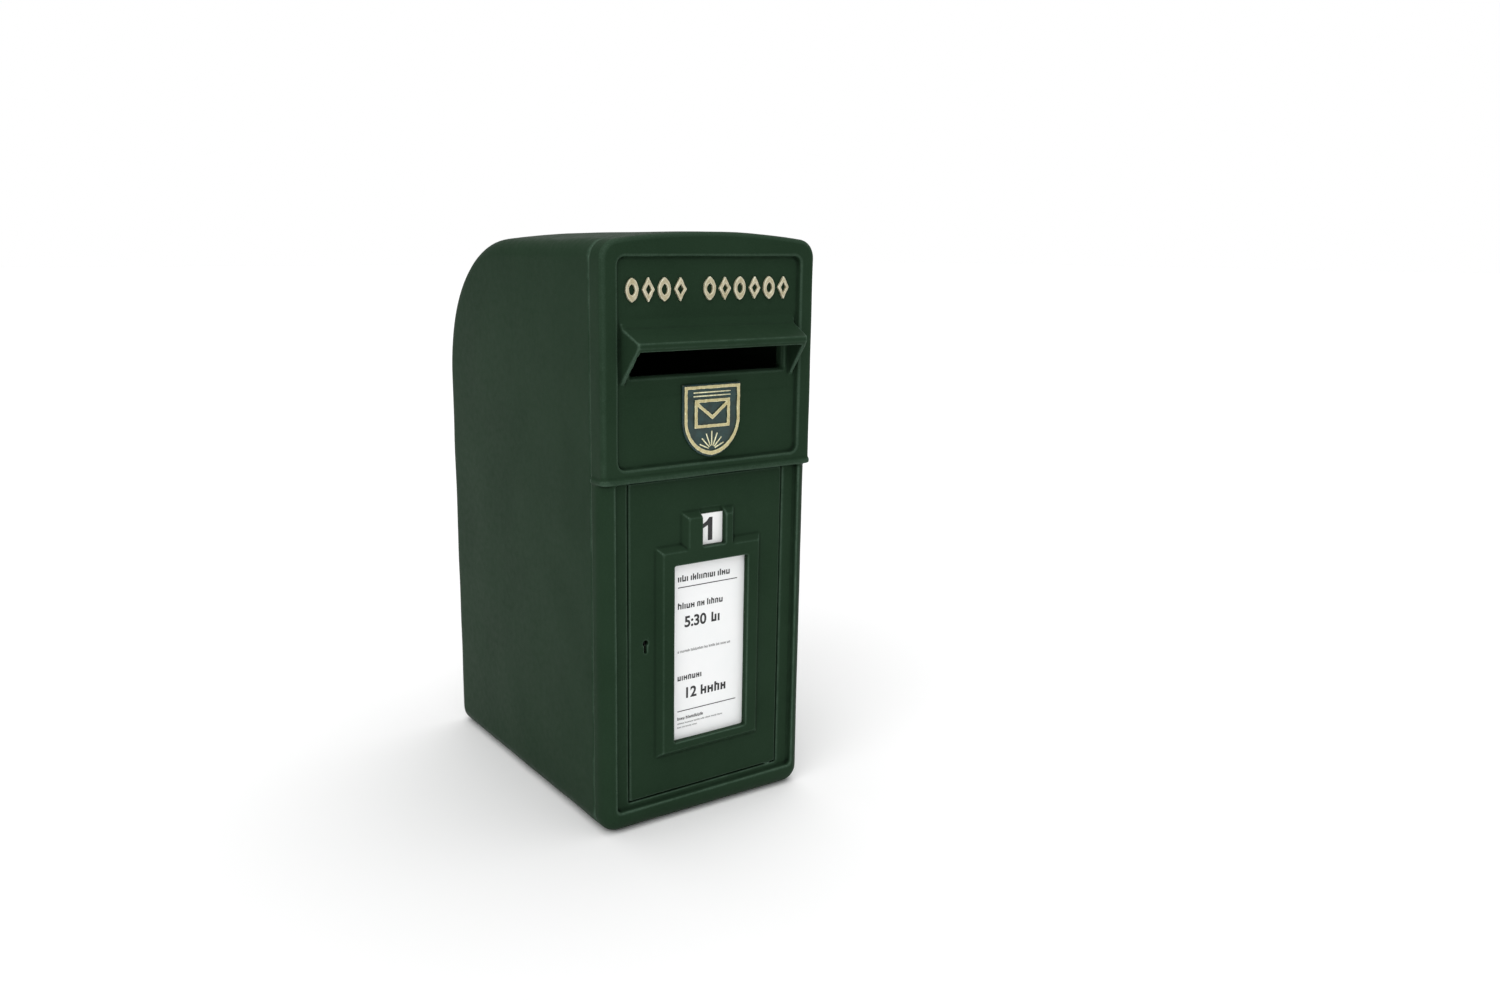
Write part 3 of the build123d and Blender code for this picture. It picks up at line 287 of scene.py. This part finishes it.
def applied(piece):
    """Replace a piece's mesh by the result of its modifiers."""
    graph = bpy.context.evaluated_depsgraph_get()
    mesh = bpy.data.meshes.new_from_object(piece.evaluated_get(graph))
    piece.modifiers.clear()
    piece.data = mesh


def baked(shape, name):
    """The mesh of a finished bmesh, which is freed."""
    mesh = bpy.data.meshes.new(name)
    shape.to_mesh(mesh)
    shape.free()
    return mesh


# ---------------------------------------------------------------- sand-cast versions of the castings
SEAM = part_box("housing_shell")[0][1]      # where the shell meets the front casting
CALM_BAND = 12 * MM           # unevenness fades out towards the seam over this distance
RIM_BAND = 3 * MM             # the part of the shell that counts as its rim
RIM_LAP = 1.2 * MM            # the shell's softened rim laps into the front casting by this much


def casting(name, node, body, voxel, rounds, ripple, triangles, material=PAINT, wave=45 * MM):
    """Stand a sand-cast piece in for a CAD casting: softened edges and slightly uneven faces."""
    source = frame["nodes"][node]
    piece = new_piece(name, source.data.copy(), material, body, (node,))
    remesh = piece.modifiers.new("remesh", "REMESH")
    remesh.mode = "VOXEL"
    remesh.voxel_size = voxel
    smooth = piece.modifiers.new("smooth", "SMOOTH")
    smooth.factor = 0.5
    smooth.iterations = rounds
    applied(piece)
    normals = [vertex.normal.copy() for vertex in piece.data.vertices]
    for vertex, normal in zip(piece.data.vertices, normals):
        from_seam = vertex.co.y - SEAM
        calm = min(1.0, abs(from_seam) / CALM_BAND)
        vertex.co += normal * (noise.noise(vertex.co / wave) * ripple * calm)
        if node == "housing_shell" and from_seam < RIM_BAND:
            vertex.co.y -= RIM_LAP
    thin = piece.modifiers.new("thin", "DECIMATE")
    thin.ratio = min(1.0, triangles / (2 * len(piece.data.polygons)))
    applied(piece)
    piece.data.shade_smooth()


casting(
    "frieze_casting", "frieze_relief", "housing",
    voxel=0.45 * MM, rounds=12, ripple=0.45 * MM, triangles=60000, material=GILT, wave=5 * MM,
)
casting(
    "badge_casting", "crest_badge", "housing",
    voxel=0.55 * MM, rounds=6, ripple=0.3 * MM, triangles=30000, material=BADGE, wave=9 * MM,
)
casting(
    "badge_lines_casting", "crest_badge_lines", "housing",
    voxel=0.32 * MM, rounds=10, ripple=0.3 * MM, triangles=50000, material=GOLD, wave=4 * MM,
)
casting(
    "shell_casting", "housing_shell", "housing",
    voxel=2.2 * MM, rounds=4, ripple=0.5 * MM, triangles=180000, wave=60 * MM,
)
casting(
    "frame_casting", "front_frame", "housing",
    voxel=1.2 * MM, rounds=3, ripple=0.35 * MM, triangles=190000,
)
casting(
    "door_casting", "door_leaf", "door",
    voxel=1.0 * MM, rounds=3, ripple=0.2 * MM, triangles=160000,
)

# the leaf spring gets a piece of its own, with its own copy of the mesh
spring = new_piece(
    "flexing_spring", frame["nodes"]["lock_lever_spring"].data.copy(), STEEL, "door",
    ("lock_lever_spring",),
)
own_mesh(spring)


# ---------------------------------------------------------------- fine lines on the badge
WIRE = 0.6 * MM               # radius of a fine line
WIRE_LIFT = 0.1 * MM          # its middle is this far in front of the badge's field
RAYS_PER_SIDE = 3             # rays on each side of the upright one
RAY_STEP = math.radians(22)
RAY_CENTRE_RISE = 7 * MM      # above the foot of the badge
RAY_START = 4 * MM            # from the centre of the rays
RAY_END = 18 * MM
RAY_LOSS = 1 * MM             # each ray ends this much short of its inner neighbour
LINE_HALF = 21 * MM           # half the length of a level line
LINE_DROPS = (11.4 * MM, 8.0 * MM)    # below the top of the badge

badge_low, badge_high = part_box("crest_badge")
badge_middle = (badge_low[0] + badge_high[0]) / 2
badge_front = badge_low[1] - WIRE_LIFT
ray_centre = Vector((badge_middle, badge_front, badge_low[2] + RAY_CENTRE_RISE))


def wire(shape, start, end):
    """Add a fine round line between two points."""
    along = end - start
    turn = along.to_track_quat("Z", "Y").to_matrix().to_4x4()
    bmesh.ops.create_cone(
        shape, segments=10, radius1=WIRE, radius2=WIRE, depth=along.length, cap_ends=True,
        matrix=Matrix.Translation((start + end) / 2) @ turn,
    )


wires = bmesh.new()
for step in range(-RAYS_PER_SIDE, RAYS_PER_SIDE + 1):
    angle = RAY_STEP * step
    ray = Vector((math.sin(angle), 0, math.cos(angle)))
    wire(wires, ray_centre + ray * RAY_START, ray_centre + ray * (RAY_END - abs(step) * RAY_LOSS))
for drop in LINE_DROPS:
    height = badge_high[2] - drop
    line_start = Vector((badge_middle - LINE_HALF, badge_front, height))
    line_end = Vector((badge_middle + LINE_HALF, badge_front, height))
    wire(wires, line_start, line_end)
new_piece("badge_fine_lines", baked(wires, "badge_fine_lines"), GOLD, "housing")


# ---------------------------------------------------------------- print helpers
INK_LIFT = 0.12 * MM          # print in front of the face that it is on
CAP_SHARE = 0.69              # numerals of the built-in face, as a share of its size
BOLD = 0.42 * MM              # added all round a numeral's outline

# an unreadable mark, in shares of its cap height
STEM = 0.22
SHORT = 0.74                  # height of a short mark
SPREADS = (0.0, 0.38, 0.44)   # first stem to second; 0 leaves the second out
JOIN_LEVELS = (0.0, 0.30, 0.60)       # height of the bar that joins two stems
MARK_GAP = 0.16
WORD_GAP = 0.34               # added between words
TALL_CHANCE = 0.3             # how often a mark is as tall as its cap height


def flat_plate(shape, x0, z0, x1, z1):
    """Add a rectangle in the XZ plane that faces the front."""
    corners = [shape.verts.new((x, 0, z)) for x, z in ((x0, z0), (x1, z0), (x1, z1), (x0, z1))]
    shape.faces.new(corners)


def numerals(shape, words, x, z, cap):
    """Add numerals of a cap height, their lower left corner at x and z."""
    curve = bpy.data.curves.new("numerals", "FONT")
    curve.body = words
    curve.size = cap / CAP_SHARE
    curve.offset = BOLD
    holder = bpy.data.objects.new("numerals", curve)
    scene.collection.objects.link(holder)
    graph = bpy.context.evaluated_depsgraph_get()
    mesh = bpy.data.meshes.new_from_object(holder.evaluated_get(graph))
    mesh.transform(Matrix.Translation((x, 0, z)) @ Matrix.Rotation(math.radians(90), 4, "X"))
    shape.from_mesh(mesh)
    bpy.data.meshes.remove(mesh)
    bpy.data.objects.remove(holder)
    bpy.data.curves.remove(curve)


def blurred_words(shape, x, z, cap, counts):
    """Add words of unreadable marks, so many marks to a word; a mark is a stem or two joined stems."""
    stem = cap * STEM
    short = cap * SHORT
    for count in counts:
        for _ in range(count):
            tall = cap if random.random() < TALL_CHANCE else short
            spread = cap * random.choice(SPREADS)
            flat_plate(shape, x, z, x + stem, z + tall)
            if spread:
                flat_plate(shape, x + spread, z, x + spread + stem, z + short)
                level = cap * random.choice(JOIN_LEVELS)
                flat_plate(shape, x + stem, z + level, x + spread, z + level + stem)
            x += spread + stem + cap * MARK_GAP
        x += cap * WORD_GAP


def lay_print(shape, name, node, material):
    """Make a piece of flat marks and lay it on the front of one of the door's CAD pieces."""
    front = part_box(node)[0][1] - INK_LIFT
    bmesh.ops.triangulate(shape, faces=shape.faces[:])
    bmesh.ops.translate(shape, verts=shape.verts, vec=(0, front, 0))
    new_piece(name, baked(shape, name), material, "door").data.shade_flat()


# ---------------------------------------------------------------- notice print
CARD_TUCK = 3.7 * MM          # how far each edge of the card goes under the door's moulding
MARGIN = 11.5 * MM            # edge of the card to the text
TIME_INDENT = 7.5 * MM        # the times, from the left margin
RULE = 0.005                  # thickness of a rule, as a share of the window's height
TITLE_CAP = 6.4 * MM          # cap heights
DAY_CAP = 6.3 * MM
TIME_CAP = 10.4 * MM
BESIDE_CAP = 10.0 * MM        # the marks beside a time
HEADING_CAP = 3.3 * MM
NOTE_CAP = 2.8 * MM
FINE_CAP = 1.8 * MM

card_low, card_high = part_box("notice_card")
text_left = card_low[0] + MARGIN
text_right = card_high[0] - MARGIN
window_top = card_high[2] - CARD_TUCK
window_height = window_top - card_low[2] - CARD_TUCK


def down(share):
    """Height on the card, as a share of the window from its top."""
    return window_top - share * window_height


def text_row(shape, share, cap, counts):
    """Add a row of unreadable words from the left margin."""
    blurred_words(shape, text_left, down(share), cap, counts)


def time_row(shape, share, digits, beside, counts):
    """Add large numerals, with unreadable marks beside them at a distance from the left margin."""
    numerals(shape, digits, text_left + TIME_INDENT, down(share), TIME_CAP)
    blurred_words(shape, text_left + beside, down(share), BESIDE_CAP, counts)


def rule(shape, share):
    """Add a thin line from margin to margin."""
    flat_plate(shape, text_left, down(share + RULE), text_right, down(share))


black = bmesh.new()
text_row(black, 0.105, TITLE_CAP, (4, 9, 4))
rule(black, 0.134)
text_row(black, 0.258, DAY_CAP, (5, 2, 5))
time_row(black, 0.362, "5:30", 39.5 * MM, (2,))
text_row(black, 0.665, DAY_CAP, (7,))
time_row(black, 0.770, "12", 27.5 * MM, (4,))
rule(black, 0.839)
text_row(black, 0.893, HEADING_CAP, (5, 10))
lay_print(black, "notice_print", "notice_card", INK)

grey = bmesh.new()
text_row(grey, 0.505, NOTE_CAP, (1, 5, 9, 2, 4, 2, 4, 2))
text_row(grey, 0.918, FINE_CAP, (7, 9, 6, 4, 7, 5, 6))
text_row(grey, 0.940, FINE_CAP, (4, 3, 6, 7))
lay_print(grey, "notice_small_print", "notice_card", FADED)

# ---------------------------------------------------------------- tile print
tile_low, tile_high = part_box("number_tile")
tile_height = tile_high[2] - tile_low[2]
foot = tile_low[2] + 0.12 * tile_height
head = tile_low[2] + 0.87 * tile_height
stem_left = tile_low[0] + 9.3 * MM
stem_right = stem_left + 5.3 * MM
flag_left = stem_left - 6.0 * MM
one = (
    (stem_left, foot), (stem_right, foot), (stem_right, head), (stem_left + 1.4 * MM, head),
    (stem_left - 1.4 * MM, head - 3.4 * MM), (flag_left, head - 6.2 * MM),
    (flag_left, head - 10.4 * MM), (stem_left, head - 7.6 * MM),
)
digit = bmesh.new()
digit.faces.new([digit.verts.new((x, 0, z)) for x, z in one])
lay_print(digit, "tile_print", "number_tile", INK)

# ---------------------------------------------------------------- floor, light and camera
FLOOR_REACH = 30.0            # metres from the middle to an edge
WORLD_LIGHT = 0.42            # strength of the world as a light; the camera sees it at full white

floor_shape = bmesh.new()
bmesh.ops.create_grid(floor_shape, x_segments=2, y_segments=2, size=FLOOR_REACH)
floor_mesh = baked(floor_shape, "floor")
floor = bpy.data.objects.new("floor", floor_mesh)
scene.collection.objects.link(floor)
floor_shader = Shader("floor_pale", (0.90, 0.90, 0.90), 0.7, specular=0.0)
floor_shader.set("Roughness", floor_shader.ramp(floor_shader.noise(0.3), 0.3, 0.7, 0.6, 0.8))
floor_mesh.materials.append(floor_shader.material)

world = bpy.data.worlds.new("studio")
world.use_nodes = True
world_nodes = world.node_tree.nodes
backdrop = next(n for n in world_nodes if n.type == "BACKGROUND")
backdrop.inputs["Color"].default_value = (1.0, 1.0, 1.0, 1)
seen = world_nodes.new("ShaderNodeLightPath").outputs["Is Camera Ray"]
world_strength = world_nodes.new("ShaderNodeMapRange")
world_strength.inputs["To Min"].default_value = WORLD_LIGHT
world_strength.inputs["To Max"].default_value = 1.0
world.node_tree.links.new(seen, world_strength.inputs["Value"])
world.node_tree.links.new(world_strength.outputs["Result"], backdrop.inputs["Strength"])
scene.world = world
scene.view_settings.view_transform = "Standard"


def far_softbox(name, direction, spread, strength):
    """Add a soft lamp, spread degrees across, that lights the floor evenly from far away in a direction."""
    data = bpy.data.lights.new(name, "SUN")
    data.angle = math.radians(spread)
    data.energy = strength
    light = bpy.data.objects.new(name, data)
    scene.collection.objects.link(light)
    light.rotation_euler = (-Vector(direction)).to_track_quat("-Z", "Y").to_euler()


far_softbox("key", (-0.75, -0.55, 1.0), spread=50, strength=1.3)
far_softbox("top", (0.25, 0.15, 1.0), spread=70, strength=1.5)
far_softbox("front", (-0.20, -1.0, 0.35), spread=60, strength=0.36)

CAMERA_PLACE = Vector((-0.6278, -1.0683, 0.5562))
CAMERA_FORWARD = Vector((0.5335, 0.8190, -0.2112)).normalized()
CAMERA_ROLL = math.radians(0.25)

level_right = CAMERA_FORWARD.cross(Vector((0, 0, 1))).normalized()
level_up = level_right.cross(CAMERA_FORWARD)
camera_right = level_right * math.cos(CAMERA_ROLL) + level_up * math.sin(CAMERA_ROLL)
camera_up = level_up * math.cos(CAMERA_ROLL) - level_right * math.sin(CAMERA_ROLL)
camera_turn = Matrix((camera_right, camera_up, -CAMERA_FORWARD)).transposed().to_4x4()
camera_data = bpy.data.cameras.new("camera")
camera_data.lens = 28.24
camera_data.sensor_width = 36.0
camera_data.shift_x = 0.0488
camera_data.shift_y = 0.0005
camera = bpy.data.objects.new("camera", camera_data)
scene.collection.objects.link(camera)
camera.matrix_world = Matrix.Translation(CAMERA_PLACE) @ camera_turn
scene.camera = camera
